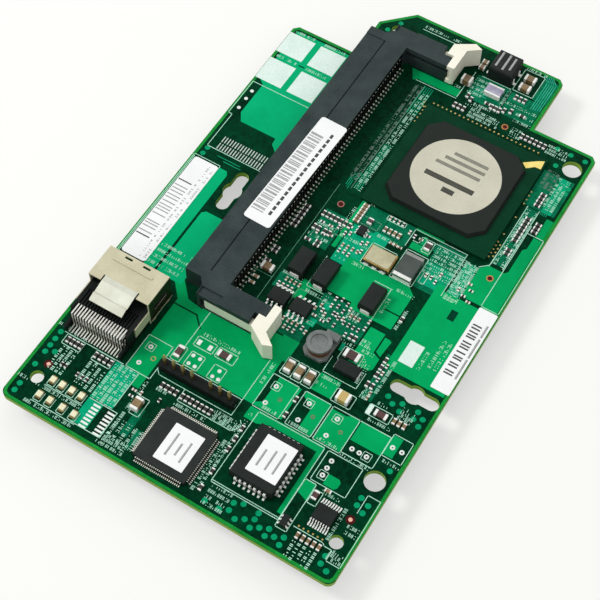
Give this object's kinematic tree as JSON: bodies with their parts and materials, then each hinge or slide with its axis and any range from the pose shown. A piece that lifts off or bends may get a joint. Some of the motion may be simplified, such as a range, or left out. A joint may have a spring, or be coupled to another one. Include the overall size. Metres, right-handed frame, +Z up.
{
  "type": "raid controller card",
  "caption": "Stepped green circuit board with a right-angle memory socket and swinging latches, a shielded drive port, a grid chip with a round heat spreader, and a pin header.",
  "frame": {"origin": "middle of the card's footprint, on the plane of the host connector's rim under the board", "axes": "+Z up out of the component side, +Y along the card's length towards the end with the stepped corner, +X across the card away from the memory socket and the drive port"},
  "size_m": [0.0892, 0.152, 0.0159],
  "materials": {
    "board": "satin solder resist",
    "slate_plastic": "satin moulding",
    "ivory_plastic": "satin moulding",
    "black_plastic": "satin moulding",
    "black_resin": "fine matte",
    "chip_laminate": "satin",
    "slug_metal": "fine matte",
    "plated_steel": "satin plated",
    "tin": "bright",
    "gold_plate": "bright plated",
    "label_paper": "matte paper",
    "ceramic": "matte",
    "lid_metal": "satin",
    "dark_ferrite": "matte",
    "grey_ferrite": "matte",
    "copper_wire": "enamelled",
    "cream_lens": "satin",
    "brown_ceramic": "matte"
  },
  "bodies": {
    "card": {"circuit_board": "board", "memory_socket_housing": "slate_plastic", "memory_socket_contacts": "tin", "drive_port_cage": "plated_steel", "drive_port_housing": "black_plastic", "drive_port_contacts": "tin", "raid_chip_base": "chip_laminate", "raid_chip_balls": "tin", "raid_chip_cap": "black_resin", "raid_chip_heat_slug": "slug_metal", "logic_chip_body": "black_resin", "logic_chip_leads": "tin", "logic_chip_label": "label_paper", "firmware_chip_body": "black_resin", "firmware_chip_leads": "tin", "firmware_chip_label": "label_paper", "small_chip_bodies": "black_resin", "small_chip_leads": "tin", "pin_header_base": "black_plastic", "pin_header_pins": "gold_plate", "tantalum_capacitor_bodies": "black_resin", "tantalum_capacitor_ends": "tin", "clock_oscillator_base": "ceramic", "clock_oscillator_lid": "lid_metal", "power_choke_body": "dark_ferrite", "power_choke_ends": "tin", "drum_inductor_core": "grey_ferrite", "drum_inductor_winding": "copper_wire", "transformer_body": "black_resin", "transformer_leads": "tin", "resettable_fuse_body": "black_resin", "resettable_fuse_ends": "tin", "indicator_lights": "cream_lens", "indicator_light_ends": "tin", "chip_resistors": "black_resin", "chip_capacitors": "brown_ceramic", "large_chip_resistors": "dark_ferrite", "chip_end_caps": "tin", "long_board_label": "label_paper", "side_board_label": "label_paper", "memory_socket_label": "label_paper", "host_connector_body": "black_plastic", "host_connector_contacts": "gold_plate"},
    "lower_latch": {"lower_latch": "ivory_plastic"},
    "upper_latch": {"upper_latch": "ivory_plastic"}
  },
  "joints": [
    {"name": "lower_latch_hinge", "type": "hinge", "parent": "card", "child": "lower_latch", "pos_m": [-0.01595, -0.03105, 0.0094], "axis": [0, 0, -1], "range_deg": [0, 22]},
    {"name": "upper_latch_hinge", "type": "hinge", "parent": "card", "child": "upper_latch", "pos_m": [-0.01595, 0.06405, 0.0094], "axis": [0, 0, 1], "range_deg": [0, 22]}
  ]
}
